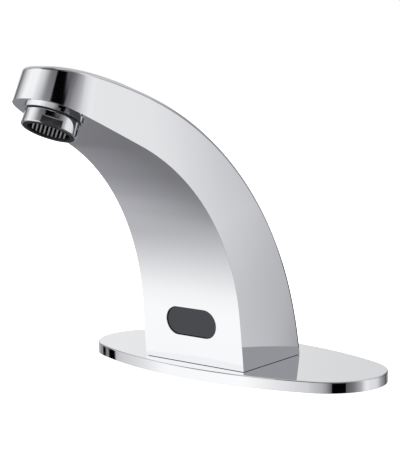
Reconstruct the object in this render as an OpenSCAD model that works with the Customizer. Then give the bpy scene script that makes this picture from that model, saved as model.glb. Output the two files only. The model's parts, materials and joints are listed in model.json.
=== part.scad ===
// Deck-mounted sensor tap. The body and spout are one tapered shell, bent forward over the basin.
// Millimetres, +Z up, the user stands on the -Y side. The origin lies on the deck plane, on the
// axis of the threaded shank, which is also the middle of the cover plate.

/* [Body and spout] */
// Distance from the shank axis forward to the foot of the front face
body_front = 31.7; // [30:0.1:34]
// Depth of the body at its base, front to back
base_depth = 50.5; // [49:0.1:52.5]
// Width of the front face at the base
base_width = 60.4; // [59:0.1:64]
// Width of the underside at the tip, before its corners are rounded
tip_width = 32.6; // [31.5:0.1:38]
// How much narrower the back is than the front, as a share of the width at the base
back_narrow_share = 0.165; // [0.1:0.005:0.18]
// How much of that narrowing is left at the tip, as a share
tip_narrow_share = 0.1; // [0:0.05:1]
// Forward lean of the straight part of the front face, in degrees
face_lean = 5.7; // [5:0.1:6.2]
// Length of the straight part of the front face
face_straight = 25.6; // [25:0.1:28]
// Radius of the concave curve under the spout
face_radius = 99; // [98:0.5:101]
// Rise of the spout's flat underside towards the tip, in degrees
tip_rise = 25; // [24:0.5:26]
// Length of the flat underside, from the end of the curve to the tip
tip_length = 48.9; // [48:0.1:52]
// Thickness of the spout where its underside turns flat
spout_thickness = 22.7; // [22:0.1:24.5]
// Radius of the flatter arc that goes on from there over the tip
crest_radius = 250; // [200:1:300]
// Forward lean of the back at the base, in degrees
back_lean = 8.45; // [8.3:0.05:8.6]
// Radius on the long outer edges of the body
edge_radius = 2; // [1.5:0.1:3.4]
// Wall thickness of the shell
wall = 3; // [2.4:0.1:3.2]
// Solid length of the tip behind the outlet axis
tip_block = 24.3; // [23:0.1:26]

/* [Deck plate] */
// Overall length of the cover plate
plate_length = 163.8; // [150:0.1:180]
// Overall width of the cover plate
plate_width = 80.2; // [78:0.1:90]
// Radius of the plate's rounded ends
plate_end_radius = 29.7; // [27:0.1:32]
// Thickness of the cover plate
plate_thickness = 5.2; // [4:0.1:7]
// Depth of the gasket pocket in the plate's underside
gasket_depth = 2.5; // [1.5:0.1:3]
// Width of the plate's rim round the gasket pocket
plate_rim = 2.5; // [2:0.1:6]

/* [Shank and clamp] */
// Outside diameter of the threaded shank
shank_diameter = 24; // [23:0.1:24.4]
// Bore of the shank
shank_bore = 20; // [19.4:0.1:21]
// Length of the shank below the deck surface
shank_drop = 58; // [50:1:80]
// Thickness of the deck that the clamp is shown on
deck_thickness = 20; // [5:0.5:24]
// Outside diameter of the clamp washers
clamp_washer_diameter = 44; // [40:0.5:60]
// Thickness of the rubber clamp washer
rubber_washer_thickness = 3; // [2:0.1:5]
// Thickness of the steel clamp washer
steel_washer_thickness = 2; // [1.5:0.1:3]
// Width across the flats of the mounting nut
nut_flats = 32; // [30:0.5:38]
// Height of the mounting nut
nut_height = 8; // [6:0.5:12]

/* [Sensor] */
// Distance from each end of the window to the side of the body, at the width of the base
window_margin = 15.1; // [15:0.1:17]
// Height of the window opening
window_height = 13.5; // [12.5:0.1:14.5]
// Height of the window's centre up the front face, from the base
window_rise = 19.7; // [19:0.1:22]
// Depth of the window's surface behind the front face
window_recess = 0.6; // [0.3:0.1:0.9]
// Depth of the sensor case
sensor_depth = 12; // [11:0.1:13]
// Distance between the emitter and the receiver
eye_spacing = 14; // [12:0.1:16]
// Diameter of the emitter and the receiver
eye_diameter = 5; // [3:0.1:6]

/* [Aerator] */
// Diameter of the aerator's thread and cup
cup_diameter = 24; // [23:0.1:24.4]
// Distance from the tip of the spout back to the outlet axis
outlet_setback = 16.7; // [16.4:0.1:17.4]
// Height of the collar round the outlet
collar_height = 1.2; // [0.8:0.1:1.6]
// Width of the collar round the cup
collar_width = 1.1; // [0.8:0.1:1.5]
// How far the cup's rim stands below the underside
cup_drop = 7.4; // [7:0.1:9]
// Depth of the threaded bore in the tip
outlet_bore_depth = 6; // [5.5:0.1:6.4]
// Inside diameter of the cup's rim
rim_opening = 19.4; // [18.4:0.1:20]
// Number of slots across the grille
slot_count = 10; // [6:1:12]
// Depth of the grille behind the rim
grille_recess = 2.4; // [1.8:0.1:2.8]
// Width across the cup's wrench flats
cup_flats = 22.4; // [22:0.1:23]

/* [Hidden] */
$fn = 72;

// General clearances
overrun = 1;
thread_clearance = 0.05;
fit_clearance = 0.15;
loose_clearance = 0.3;
face_gap = 0.02;

// Colours
chrome_colour = [0.82, 0.83, 0.85];
brass_colour = [0.78, 0.65, 0.35];
steel_colour = [0.62, 0.64, 0.66];
rubber_colour = [0.12, 0.12, 0.13];
window_colour = [0.16, 0.16, 0.17];
plastic_colour = [0.2, 0.2, 0.22];
board_colour = [0.12, 0.35, 0.2];
copper_colour = [0.72, 0.45, 0.3];
grille_colour = [0.55, 0.56, 0.58];

// Body loft: the plan outline tapers by a power law and closes in a rounded end
taper_power = 1.81;
tip_round_power = 9;
tip_round_root = 2.7;
tip_round_start_share = 0.678;
tip_cap_share = 0.0009;
arc_steps = 36;
straight_steps = 5;
tip_steps = 28;
edge_steps = 8;
edge_reach_share = 0.92;

seal_thickness = 0.2;
base_z = plate_thickness + seal_thickness;
arc_turn = 90 - tip_rise - face_lean;
arc_length = face_radius * arc_turn * PI / 180;
arc_end = face_straight + arc_length;
face_length = arc_end + tip_length;
outlet_at = face_length - outlet_setback;
cavity_end = outlet_at - tip_block;
foot = [-body_front, base_z];
arc_start = foot + face_straight * [-sin(face_lean), cos(face_lean)];
face_centre = arc_start - face_radius * [cos(face_lean), sin(face_lean)];
tip_angle = face_lean + arc_turn;
tip_start = face_centre + face_radius * [cos(tip_angle), sin(tip_angle)];

// Angle of the face's outward-leaning tangent at arc distance s, from the vertical
function face_angle(s) =
    s < face_straight ? face_lean
    : s < arc_end ? face_lean + arc_turn * (s - face_straight) / arc_length
    : tip_angle;
// Point of the front face and underside on the middle plane, as [y, z]
function face_point(s) =
    s < face_straight ? foot + s * [-sin(face_lean), cos(face_lean)]
    : s < arc_end ? face_centre + face_radius * [cos(face_angle(s)), sin(face_angle(s))]
    : tip_start + (s - arc_end) * [-sin(tip_angle), cos(tip_angle)];
// Angle of a section above the horizontal: level at the base, square to the face from the arc on
function section_angle(s) = face_angle(s) * min(1, max(0, s) / face_straight);
function section_dir(s) = [cos(section_angle(s)), sin(section_angle(s))];
// Distance from the face along the section at s to the circle of the given centre and radius
function reach_to(s, centre, r) =
    let (q = face_point(s) - centre, b = q * section_dir(s))
    -b + sqrt(b * b - q * q + r * r);
// The back is an arc from the heel, at its lean, to the spout's thickness at the end of the curve
heel = [base_depth - body_front, base_z];
heel_dir = [cos(back_lean), sin(back_lean)];
crest_start = face_point(arc_end) + spout_thickness * section_dir(arc_end);
back_rise = crest_start - heel;
back_radius = -(back_rise * back_rise) / (2 * back_rise * heel_dir);
back_centre = heel - back_radius * heel_dir;
// The crest's arc goes on from there, tangent to the back's
crest_centre = crest_start - crest_radius / back_radius * (crest_start - back_centre);
// Thickness of the body along a section
function thickness(s) =
    s < arc_end ? reach_to(s, back_centre, back_radius) : reach_to(s, crest_centre, crest_radius);
// Half the width of the front face at s, inset by d
function half_width(s, d) =
    let (
        u = max(0, s) / face_length,
        start = tip_round_start_share * face_length,
        t = max(0, (s - start) / (face_length - d - start)),
        half = base_width / 2 - (base_width - tip_width) / 2 * pow(u, taper_power)
    )
    (half - d) * pow(1 - pow(t, tip_round_power), 1 / tip_round_root);
// Narrowing towards the back, at distance w in from the face; it eases off towards the tip
function back_scale(w, s = 0) =
    let (t = max(0, (s - arc_end) / tip_length))
    1 - back_narrow_share * (1 - (1 - tip_narrow_share) * t * t) * w / base_depth;
// One point of the body: across x, along the face s, in from the face w
function body_point(x, s, w) =
    let (p = face_point(s) + w * section_dir(s))
    [x, p[0], p[1]];

// Half a section, from the face to the back: side, rounded edge, back
function skin_half(s) =
    let (
        r = edge_radius,
        reach = min(r, edge_reach_share * (face_length - s)),
        full = thickness(s),
        side = full - r
    )
    concat(
        [body_point(half_width(s, 0), s, 0)],
        [
            for (i = [0 : edge_steps])
                let (
                    d = reach * (1 - cos(90 * i / edge_steps)),
                    f = r - sqrt(max(0, pow(r, 2) - pow(r - d, 2)))
                )
                body_point(half_width(s, d) * back_scale(side, s), s, full - f)
        ]
    );
function skin_ring(s) =
    let (half = skin_half(s), n = len(half))
    concat(half, [for (i = [n - 1 : -1 : 0]) [-half[i][0], half[i][1], half[i][2]]]);
function room_ring(s) =
    let (
        full = thickness(s) - wall,
        front = half_width(s, wall) * back_scale(wall, s),
        back = half_width(s, wall) * back_scale(full, s)
    )
    [
        body_point(front, s, wall), body_point(back, s, full),
        body_point(-back, s, full), body_point(-front, s, wall)
    ];

// Solid through a row of rings with the same number of points, closed at both ends
module loft(rings) {
    n = len(rings[0]);
    m = len(rings);
    polyhedron(
        points = [for (ring = rings) each ring],
        faces = concat(
            [[for (i = [0 : n - 1]) i]],
            [
                for (k = [0 : m - 2], i = [0 : n - 1])
                    let (j = (i + 1) % n, a = k * n, b = (k + 1) * n)
                    each [[a + i, b + i, b + j], [a + i, b + j, a + j]]
            ],
            [[for (i = [n - 1 : -1 : 0]) (m - 1) * n + i]]
        ),
        convexity = 6
    );
}

skin_stations = concat(
    [for (i = [0 : straight_steps - 1]) face_straight * i / straight_steps],
    [for (i = [0 : arc_steps - 1]) face_straight + arc_length * i / arc_steps],
    [
        for (i = [0 : tip_steps])
            arc_end + tip_length * (1 - tip_cap_share) * sin(90 * i / tip_steps)
    ]
);
room_stations = concat(
    [-overrun],
    [for (i = [0 : straight_steps - 1]) face_straight * i / straight_steps],
    [for (i = [0 : arc_steps - 1]) face_straight + arc_length * i / arc_steps],
    [arc_end, cavity_end]
);

// Local frame on the outlet axis: origin on the underside, +Z out of the spout
module at_outlet() {
    p = face_point(outlet_at);
    translate([0, p[0], p[1]]) rotate([90 + tip_angle, 0, 0]) children();
}
// Local frame on the window: origin on the front face, +Z outward, +Y up the face
module at_window() {
    p = face_point(window_rise);
    translate([0, p[0], p[1]]) rotate([90 + face_lean, 0, 0]) children();
}
// Stadium standing on its frame, from z0 to z1
module stadium(length, height, z0, z1) {
    translate([0, 0, z0]) {
        for (side = [-1, 1]) translate([side * (length - height) / 2, 0, 0]) cylinder(d = height, h = z1 - z0);
        translate([-(length - height) / 2, -height / 2, 0]) cube([length - height, height, z1 - z0]);
    }
}
// Ring from z0 to z1
module ring(outer_r, inner_r, z0, z1) {
    translate([0, 0, z0]) difference() {
        cylinder(r = outer_r, h = z1 - z0);
        translate([0, 0, -overrun]) cylinder(r = inner_r, h = z1 - z0 + 2 * overrun);
    }
}
// Plain hole from z0 to z1
module hole(r, z0, z1) {
    translate([0, 0, z0]) cylinder(r = r, h = z1 - z0);
}

// Foot of the body: brass block with the shank bore, the water port and the cable hole
block_gap = 0.6;
block_z0 = base_z + block_gap;
block_height = 10;
block_z1 = block_z0 + block_height;
shank_engagement = 7;
shank_seat_z = block_z0 + shank_engagement;
port_y = -4.5;
port_boss_r = 6.8;
port_r = 4.5;
port_depth = 10;
tube_r = 4;
tube_wall = 1;
tube_bore_r = tube_r - tube_wall;
socket_depth = 8;
port_floor = 4;
socket_z0 = shank_seat_z + port_depth + port_floor;
boss_top_z = socket_z0 + socket_depth;
cable_y = 6.4;
cable_hole_r = 2.9;

// Screws from below into the shell
screw_r = 2;
screw_head_r = 3.6;
screw_head_height = 2.4;
screw_length = 17;
screw_pilot_r = 2.05;
column_r = 4;
column_bury = 1;
column_rib = 3;
head_margin = 1;
column_height = 10;
column_z0 = block_z1 + loose_clearance;
screw_ys = [-12, 8];
// Half the width of the cavity at the base, at a given y
function room_half(y) = half_width(0, wall) * back_scale(y + body_front);
function column_x(y) = room_half(y) - loose_clearance - 2 * fit_clearance - head_margin - screw_head_r;

// Deck plate outline
plate_big_r = let (c = plate_length / 2 - plate_end_radius, w = plate_width / 2)
    (c * c + w * w - plate_end_radius * plate_end_radius) / (2 * (w - plate_end_radius));
// Four tangent arcs: a point of an arc round [x, y], of radius r, at angle a
plate_end_x = plate_length / 2 - plate_end_radius;
plate_drop = plate_big_r - plate_width / 2;
plate_turn = atan2(plate_drop, plate_end_x);
plate_end_steps = 44;
plate_side_steps = 26;
function arc_points(x, y, r, from, to, steps) =
    [for (i = [0 : steps - 1]) let (a = from + (to - from) * i / steps) [x + r * cos(a), y + r * sin(a)]];
function plate_outline(inset) = concat(
    arc_points(plate_end_x, 0, plate_end_radius - inset, -plate_turn, plate_turn, plate_end_steps),
    arc_points(0, -plate_drop, plate_big_r - inset, plate_turn, 180 - plate_turn, plate_side_steps),
    arc_points(-plate_end_x, 0, plate_end_radius - inset, 180 - plate_turn, 180 + plate_turn, plate_end_steps),
    arc_points(0, plate_drop, plate_big_r - inset, 180 + plate_turn, 360 - plate_turn, plate_side_steps)
);
module plate_blank(inset, z0, z1) {
    translate([0, 0, z0]) linear_extrude(z1 - z0) polygon(plate_outline(inset));
}
shank_hole_r = shank_diameter / 2 + loose_clearance;

module deck_plate() {
    color(chrome_colour) difference() {
        plate_blank(0, 0, plate_thickness);
        plate_blank(plate_rim, -overrun, gasket_depth);
        hole(shank_hole_r, -overrun, plate_thickness + overrun);
    }
}
module deck_gasket() {
    color(rubber_colour) difference() {
        plate_blank(plate_rim + fit_clearance, 0, gasket_depth);
        hole(shank_hole_r, -overrun, gasket_depth + overrun);
    }
}

// Outline of the body's base, inset by d, as a flat polygon
seal_inset = 0.8;
seal_width = 5;
module base_outline(d) {
    front = half_width(0, d);
    back = front * back_scale(base_depth);
    polygon([
        [-front, d - body_front], [front, d - body_front],
        [back, base_depth - body_front - d], [-back, base_depth - body_front - d]
    ]);
}
module base_seal() {
    color(rubber_colour) translate([0, 0, plate_thickness]) difference() {
        linear_extrude(seal_thickness) base_outline(seal_inset);
        translate([0, 0, -overrun]) linear_extrude(seal_thickness + 2 * overrun)
            base_outline(seal_inset + seal_width);
    }
}

module base_block() {
    back_y = back_centre[0] - loose_clearance
        + sqrt(pow(back_radius - wall, 2) - pow(block_z1 - back_centre[1], 2));
    front_y = wall + loose_clearance - body_front;
    front_x = room_half(front_y) - loose_clearance - fit_clearance;
    back_x = room_half(back_y) - loose_clearance - fit_clearance;
    color(brass_colour) difference() {
        union() {
            translate([0, 0, block_z0]) linear_extrude(block_height) polygon([
                [-front_x, front_y], [front_x, front_y], [back_x, back_y], [-back_x, back_y]
            ]);
            translate([0, port_y, 0]) hole(port_boss_r, shank_seat_z, boss_top_z);
        }
        hole(shank_diameter / 2 + thread_clearance, block_z0 - overrun, shank_seat_z);
        translate([0, port_y, 0]) {
            hole(port_r, shank_seat_z - overrun, shank_seat_z + port_depth);
            hole(tube_bore_r, shank_seat_z, socket_z0 + overrun);
            hole(tube_r + thread_clearance, socket_z0, boss_top_z + overrun);
            hole(seal_groove_r, boss_top_z - seal_setback - seal_groove_width, boss_top_z - seal_setback);
        }
        translate([0, cable_y, 0]) hole(cable_hole_r, shank_seat_z - overrun, block_z1 + overrun);
        for (y = screw_ys, side = [-1, 1]) translate([side * column_x(y), y, 0]) {
            hole(screw_r + fit_clearance, block_z0 - overrun, block_z1 + overrun);
            hole(screw_head_r + fit_clearance, block_z0 - overrun, block_z0 + screw_head_height);
        }
    }
}
module base_screws() {
    socket_r = 1.7;
    socket_depth_share = 0.6;
    color(steel_colour) for (y = screw_ys, side = [-1, 1]) translate([side * column_x(y), y, block_z0]) {
        difference() {
            union() {
                cylinder(r = screw_head_r, h = screw_head_height - face_gap);
                cylinder(r = screw_r, h = screw_length);
            }
            translate([0, 0, -overrun])
                cylinder(r = socket_r, h = screw_head_height * socket_depth_share + overrun, $fn = 6);
        }
    }
}

module shank() {
    lead = 1;
    color(brass_colour) difference() {
        union() {
            hole(shank_diameter / 2, lead - shank_drop, shank_seat_z - face_gap);
            translate([0, 0, -shank_drop])
                cylinder(r1 = shank_diameter / 2 - lead, r2 = shank_diameter / 2, h = lead);
        }
        hole(shank_bore / 2, -shank_drop - overrun, shank_seat_z + overrun);
    }
}

// Clamp below the deck
clamp_bore_r = shank_diameter / 2 + fit_clearance;
rubber_z0 = -deck_thickness - rubber_washer_thickness;
steel_z0 = rubber_z0 - steel_washer_thickness;
module clamp_washer_rubber() {
    color(rubber_colour) ring(clamp_washer_diameter / 2, clamp_bore_r, rubber_z0, -deck_thickness);
}
module clamp_washer_steel() {
    color(steel_colour) ring(clamp_washer_diameter / 2, clamp_bore_r, steel_z0, rubber_z0);
}
module mounting_nut() {
    chamfer = 1.2;
    corner_r = nut_flats / 2 / cos(30);
    z0 = steel_z0 - face_gap - nut_height;
    color(brass_colour) difference() {
        intersection() {
            translate([0, 0, z0]) cylinder(r = corner_r, h = nut_height, $fn = 6);
            union() {
                translate([0, 0, z0])
                    cylinder(r1 = corner_r - chamfer, r2 = corner_r, h = chamfer);
                translate([0, 0, z0 + chamfer]) cylinder(r = corner_r, h = nut_height - chamfer);
            }
        }
        hole(shank_diameter / 2 + thread_clearance, z0 - overrun, z0 + nut_height + overrun);
    }
}

// Water tube: straight up from the foot, along the middle of the room, then straight into the tip
bend_lead = 1;
bend_z = boss_top_z + bend_lead;
tube_line = 9;
mid_share = 0.5;
tip_normal = [cos(tip_angle), sin(tip_angle)];
tube_end = cavity_end + socket_depth;
// Distances along the face where the tube starts to bend, and where it runs along the middle
bend_start = face_straight + face_radius * (asin((bend_z - face_centre[1]) / face_radius) - face_lean) * PI / 180;
mid_at = (bend_start + arc_end) * mid_share;
function ease(t) = let (c = min(1, max(0, t))) c * c * (3 - 2 * c);
// Point on the tube's axis, as [y, z], at distance s along the face
function tube_point(s) =
    let (
        w = thickness(s) * mid_share
            + (tube_line - thickness(s) * mid_share) * ease((s - mid_at) / (arc_end - mid_at)),
        inside = face_point(s) + w * section_dir(s),
        upright = [port_y, bend_z + s - bend_start]
    )
    upright + (inside - upright) * ease((s - bend_start) / (mid_at - bend_start));
seal_groove_depth = 1.2;
seal_groove_r = tube_r + seal_groove_depth;
seal_groove_width = 1.5;
seal_setback = 2;

// Frame on the tube's straight run: origin at distance s along the underside, +Z towards the tip
module at_run(s) {
    p = face_point(s) + tube_line * tip_normal;
    translate([0, p[0], p[1]]) rotate([tip_angle, 0, 0]) children();
}
tube_sides = 24;
tube_steps = 18;
tube_tangent_share = 0.2;
// Stations of the tube as [y, z, lean of its run from the vertical], lengthened by extra at both ends
function tube_route(extra) =
    let (step = (arc_end - bend_start) / tube_steps, h = step * tube_tangent_share)
    concat(
        [[port_y, socket_z0 + face_gap - extra, 0], [port_y, bend_z, 0]],
        [
            for (i = [1 : tube_steps - 1])
                let (s = bend_start + i * step, p = tube_point(s), d = tube_point(s + h) - tube_point(s - h))
                [p[0], p[1], atan2(-d[0], d[1])]
        ],
        [
            for (s = [arc_end, tube_end - face_gap + extra])
                let (p = face_point(s) + tube_line * tip_normal)
                [p[0], p[1], tip_angle]
        ]
    );
function tube_ring(c, r) = [
    for (i = [0 : tube_sides - 1])
        let (t = 360 * i / tube_sides)
        [r * cos(t), c[0] + r * sin(t) * cos(c[2]), c[1] + r * sin(t) * sin(c[2])]
];
module water_tube() {
    color(copper_colour) difference() {
        loft([for (c = tube_route(0)) tube_ring(c, tube_r)]);
        loft([for (c = tube_route(overrun)) tube_ring(c, tube_bore_r)]);
    }
}
// O-ring in its groove, lying on z = 0
module tube_seal() {
    cord_r = (seal_groove_r - tube_r) / 2 - face_gap;
    rotate_extrude() translate([(seal_groove_r + tube_r) / 2, seal_groove_width / 2])
        circle(r = cord_r, $fn = 24);
}
module tube_seal_lower() {
    color(rubber_colour) translate([0, port_y, boss_top_z - seal_setback - seal_groove_width]) tube_seal();
}
module tube_seal_upper() {
    color(rubber_colour) at_run(cavity_end + seal_setback) tube_seal();
}

// Sensor: window from behind, case with the board and the two eyes, held by a bracket
window_length = base_width - 2 * window_margin;
window_flange = 2;
window_seal_thickness = 0.5;
window_flange_thickness = 1.2;
window_back = wall + window_seal_thickness + window_flange_thickness;
flange_length = window_length + 2 * window_flange;
flange_height = window_height + 2 * window_flange;
case_wall = 1.5;
case_back = window_back + face_gap + sensor_depth;
board_thickness = 1.6;
board_clear = 2.4;
board_at = case_back - case_wall - board_clear;
eye_gap = 1;
bracket_thickness = 1.2;
bracket_width = 6.2;
bracket_rise = 3.3;
bracket_post_r = 3.2;
bracket_screw_r = 1.5;
bracket_pilot_r = 1.55;
bracket_head_r = 2.8;
bracket_head_height = 1.8;
bracket_screw_length = 8;
post_bury = 0.8;
post_gap = 1.6;
post_x = flange_length / 2 + bracket_post_r + post_gap;
gland_r = 2.6;
gland_bore_r = 1.75;
gland_drop = 3.9;

module sensor_window() {
    color(window_colour) at_window() {
        stadium(window_length - 2 * fit_clearance, window_height - 2 * fit_clearance,
            -wall - window_seal_thickness, -window_recess);
        stadium(flange_length, flange_height, -window_back, -wall - window_seal_thickness);
    }
}
module window_seal() {
    color(rubber_colour) at_window() difference() {
        stadium(flange_length, flange_height, -wall - window_seal_thickness + face_gap, -wall - face_gap);
        stadium(window_length, window_height, -wall - window_seal_thickness - overrun, overrun - wall);
    }
}
module sensor_case() {
    color(plastic_colour) at_window() difference() {
        stadium(flange_length, flange_height, -case_back, -window_back - face_gap);
        stadium(flange_length - 2 * case_wall, flange_height - 2 * case_wall,
            case_wall - case_back, overrun - window_back);
        translate([0, -gland_drop, 0]) hole(gland_r + fit_clearance, -case_back - overrun, case_wall - case_back + overrun);
    }
}
module circuit_board() {
    color(board_colour) at_window() difference() {
        stadium(flange_length - 2 * case_wall - 2 * fit_clearance,
            flange_height - 2 * case_wall - 2 * fit_clearance,
            -board_at, board_thickness - board_at);
        translate([0, -gland_drop, 0]) hole(gland_r + fit_clearance, -board_at - overrun, board_thickness - board_at + overrun);
    }
}
module eye() {
    color(window_colour) at_window() translate([eye_spacing / 2, 0, 0]) {
        hole(eye_diameter / 2, board_thickness - board_at + face_gap, -window_back - eye_gap - eye_diameter / 2);
        translate([0, 0, -window_back - eye_gap - eye_diameter / 2]) intersection() {
            sphere(d = eye_diameter, $fn = 48);
            translate([-eye_diameter, -eye_diameter, 0]) cube(2 * eye_diameter);
        }
    }
}
module ir_emitter() {
    eye();
}
module ir_receiver() {
    mirror([1, 0, 0]) eye();
}
module sensor_gland() {
    flange = 1;
    reach = 2.6;
    color(rubber_colour) at_window() translate([0, -gland_drop, 0]) difference() {
        union() {
            hole(gland_r, -case_back - reach, case_wall - case_back + face_gap);
            hole(gland_r + flange, -case_back - flange - face_gap, -case_back - face_gap);
            hole(gland_r + flange / 2, case_wall - case_back + face_gap, case_wall - case_back + flange);
        }
        hole(gland_bore_r, -case_back - reach - overrun, case_wall - case_back + flange + overrun);
    }
}
module sensor_bracket() {
    color(steel_colour) at_window() translate([0, bracket_rise, 0]) difference() {
        stadium(2 * post_x + bracket_width, bracket_width,
            -case_back - face_gap - bracket_thickness, -case_back - face_gap);
        for (side = [-1, 1]) translate([side * post_x, 0, 0])
            hole(bracket_screw_r + fit_clearance, -case_back - bracket_thickness - overrun, overrun - case_back);
    }
}
module bracket_screws() {
    head_z = -case_back - 2 * face_gap - bracket_thickness;
    color(steel_colour) at_window() for (side = [-1, 1]) translate([side * post_x, bracket_rise, 0]) {
        hole(bracket_screw_r, head_z, head_z + bracket_screw_length);
        difference() {
            hole(bracket_head_r, head_z - bracket_head_height, head_z);
            translate([0, 0, head_z - bracket_head_height - overrun])
                cylinder(r = bracket_head_r / 2, h = bracket_head_height / 2 + overrun, $fn = 6);
        }
    }
}
module cable_grommet() {
    flange = 0.9;
    color(rubber_colour) translate([0, cable_y, 0]) difference() {
        union() {
            hole(cable_hole_r - thread_clearance, shank_seat_z, block_z1);
            hole(cable_hole_r + flange, block_z1 + face_gap, block_z1 + face_gap + flange);
            hole(cable_hole_r - thread_clearance, block_z1, block_z1 + 2 * flange);
        }
        hole(gland_bore_r, shank_seat_z - overrun, block_z1 + 3 * flange);
    }
}

// Outlet
bore_r = cup_diameter / 2 + thread_clearance;
collar_r = bore_r + collar_width;
chamber_r = 8.5;
chamber_depth = 6.5;
collar_bury = 1;

module body_shell() {
    color(chrome_colour) difference() {
        union() {
            difference() {
                loft([for (s = skin_stations) skin_ring(s)]);
                loft([for (s = room_stations) room_ring(s)]);
            }
            at_outlet() hole(collar_r, -collar_bury, collar_height);
            for (y = screw_ys, side = [-1, 1]) {
                translate([side * column_x(y), y, 0]) hole(column_r, column_z0, column_z0 + column_height);
                mirror([side < 0 ? 1 : 0, 0, 0]) translate([column_x(y), y - column_rib / 2, column_z0])
                    cube([room_half(y) + column_bury - column_x(y), column_rib, column_height]);
            }
            at_window() for (side = [-1, 1]) translate([side * post_x, bracket_rise, 0])
                hole(bracket_post_r, -case_back + face_gap, -wall + post_bury);
        }
        for (y = screw_ys, side = [-1, 1]) translate([side * column_x(y), y, 0])
            hole(screw_pilot_r, column_z0 - overrun, block_z0 + screw_length + overrun);
        at_window() {
            stadium(window_length, window_height, -wall - overrun, overrun);
            for (side = [-1, 1]) translate([side * post_x, bracket_rise, 0])
                hole(bracket_pilot_r, -case_back - overrun, bracket_screw_length - case_back);
        }
        at_outlet() {
            hole(bore_r, -outlet_bore_depth, collar_height + overrun);
            hole(chamber_r, -outlet_bore_depth - chamber_depth, overrun - outlet_bore_depth);
        }
        at_run(cavity_end) {
            hole(tube_r + thread_clearance, -overrun, socket_depth);
            hole(tube_bore_r, 0, outlet_at - chamber_r / 2 - cavity_end);
            hole(seal_groove_r, seal_setback, seal_setback + seal_groove_width);
        }
    }
}

// Aerator, from the washer down to the rim
washer_thickness = 1.5;
housing_top = washer_thickness + face_gap - outlet_bore_depth;
cup_wall = 1.6;
housing_bore_r = cup_diameter / 2 - cup_wall;
gap_height = 0.5;
gap_depth = 0.7;
rim_chamfer = 0.35;
grille_thickness = 1.4;
grille_z1 = cup_drop - grille_recess;
screen_thickness = 0.3;
screen_gap = 0.5;
screen_count = 2;
cartridge_wall = 1.2;
cartridge_z1 = grille_z1 - grille_thickness - face_gap;
cartridge_r = housing_bore_r - thread_clearance;
regulator_thickness = 2.2;
regulator_r = 5;

module aerator_housing() {
    rim_r = cup_diameter / 2;
    flat_top = 4.3;
    color(chrome_colour) at_outlet() difference() {
        union() {
            hole(rim_r, housing_top, collar_height);
            hole(rim_r - gap_depth, collar_height - overrun, collar_height + gap_height);
            hole(rim_r, collar_height + gap_height, cup_drop - rim_chamfer);
            translate([0, 0, cup_drop - rim_chamfer])
                cylinder(r1 = rim_r, r2 = rim_r - rim_chamfer, h = rim_chamfer);
        }
        hole(housing_bore_r, housing_top - overrun, grille_z1 + face_gap);
        hole(rim_opening / 2, housing_top, cup_drop + overrun);
        for (turn = [0, 180]) rotate([0, 0, flat_turn + turn])
            translate([-cup_diameter, -cup_diameter - cup_flats / 2, flat_top])
                cube([2 * cup_diameter, cup_diameter, cup_drop]);
    }
}
// Turn of the first wrench flat about the outlet axis
flat_turn = -48;

module aerator_washer() {
    color(rubber_colour) at_outlet()
        ring(bore_r - fit_clearance, chamber_r, face_gap - outlet_bore_depth, washer_thickness - outlet_bore_depth);
}
module aerator_cartridge() {
    deck = 1.2;
    deck_z = housing_top + regulator_thickness;
    color(plastic_colour) at_outlet() {
        ring(cartridge_r, cartridge_r - cartridge_wall, housing_top, cartridge_z1);
        difference() {
            hole(cartridge_r - cartridge_wall / 2, deck_z, deck_z + deck);
            for (turn = [0 : 30 : 330]) rotate([0, 0, turn])
                translate([regulator_r + deck, 0, 0]) hole(deck / 2, deck_z - overrun, deck_z + deck + overrun);
            hole(deck, deck_z - overrun, deck_z + deck + overrun);
        }
    }
}
module flow_regulator() {
    orifice_r = 1.3;
    color(rubber_colour) at_outlet()
        ring(regulator_r, orifice_r, housing_top, housing_top + regulator_thickness - face_gap);
}
module aerator_screens() {
    hole_r = 0.9;
    pitch = 2.6;
    rows = 2;
    color(steel_colour) at_outlet() for (level = [1 : screen_count])
        translate([0, 0, cartridge_z1 - level * (screen_thickness + screen_gap)]) difference() {
            cylinder(r = cartridge_r - cartridge_wall - face_gap, h = screen_thickness);
            for (i = [-rows : rows], j = [-rows : rows]) translate([i * pitch, j * pitch, -overrun])
                cylinder(r = hole_r, h = screen_thickness + 2 * overrun, $fn = 4);
        }
}
module aerator_grille() {
    rib_share = 0.4;
    grille_rim = 1.2;
    field_r = rim_opening / 2 - grille_rim;
    pitch = 2 * field_r / slot_count;
    color(grille_colour) at_outlet() rotate([0, 0, flat_turn])
        translate([0, 0, grille_z1 - grille_thickness]) difference() {
        cylinder(r = cartridge_r, h = grille_thickness);
        intersection() {
            translate([0, 0, -overrun]) cylinder(r = field_r, h = grille_thickness + 2 * overrun);
            for (i = [0 : slot_count - 1])
                translate([(i + 0.5) * pitch - field_r - pitch * (1 - rib_share) / 2, -field_r, -overrun])
                    cube([pitch * (1 - rib_share), 2 * field_r, grille_thickness + 2 * overrun]);
        }
    }
}

body_shell();
base_block();
base_screws();
base_seal();
deck_plate();
deck_gasket();
shank();
clamp_washer_rubber();
clamp_washer_steel();
mounting_nut();
water_tube();
tube_seal_lower();
tube_seal_upper();
sensor_window();
window_seal();
sensor_case();
circuit_board();
ir_emitter();
ir_receiver();
sensor_gland();
sensor_bracket();
bracket_screws();
cable_grommet();
aerator_housing();
aerator_washer();
aerator_cartridge();
flow_regulator();
aerator_screens();
aerator_grille();
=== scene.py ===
# %% [markdown]
# # A chrome sensor tap
#
# The real object is a deck-mounted basin tap without a handle. One polished casting leans forward
# over the basin, a dark window low in front hides the sensor, and a turned cup under the tip holds
# the outlet. A long plate covers the holes in the deck, and a threaded shank, two washers and a
# nut clamp everything from below.
#
# The CAD model gives every size and place. This script dresses it: it softens edges, cuts threads,
# gives each material its finish, and sets up the studio that the chrome mirrors. Chrome has hardly
# any colour of its own, so here the studio is half of the material.

import json
import math

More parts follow.
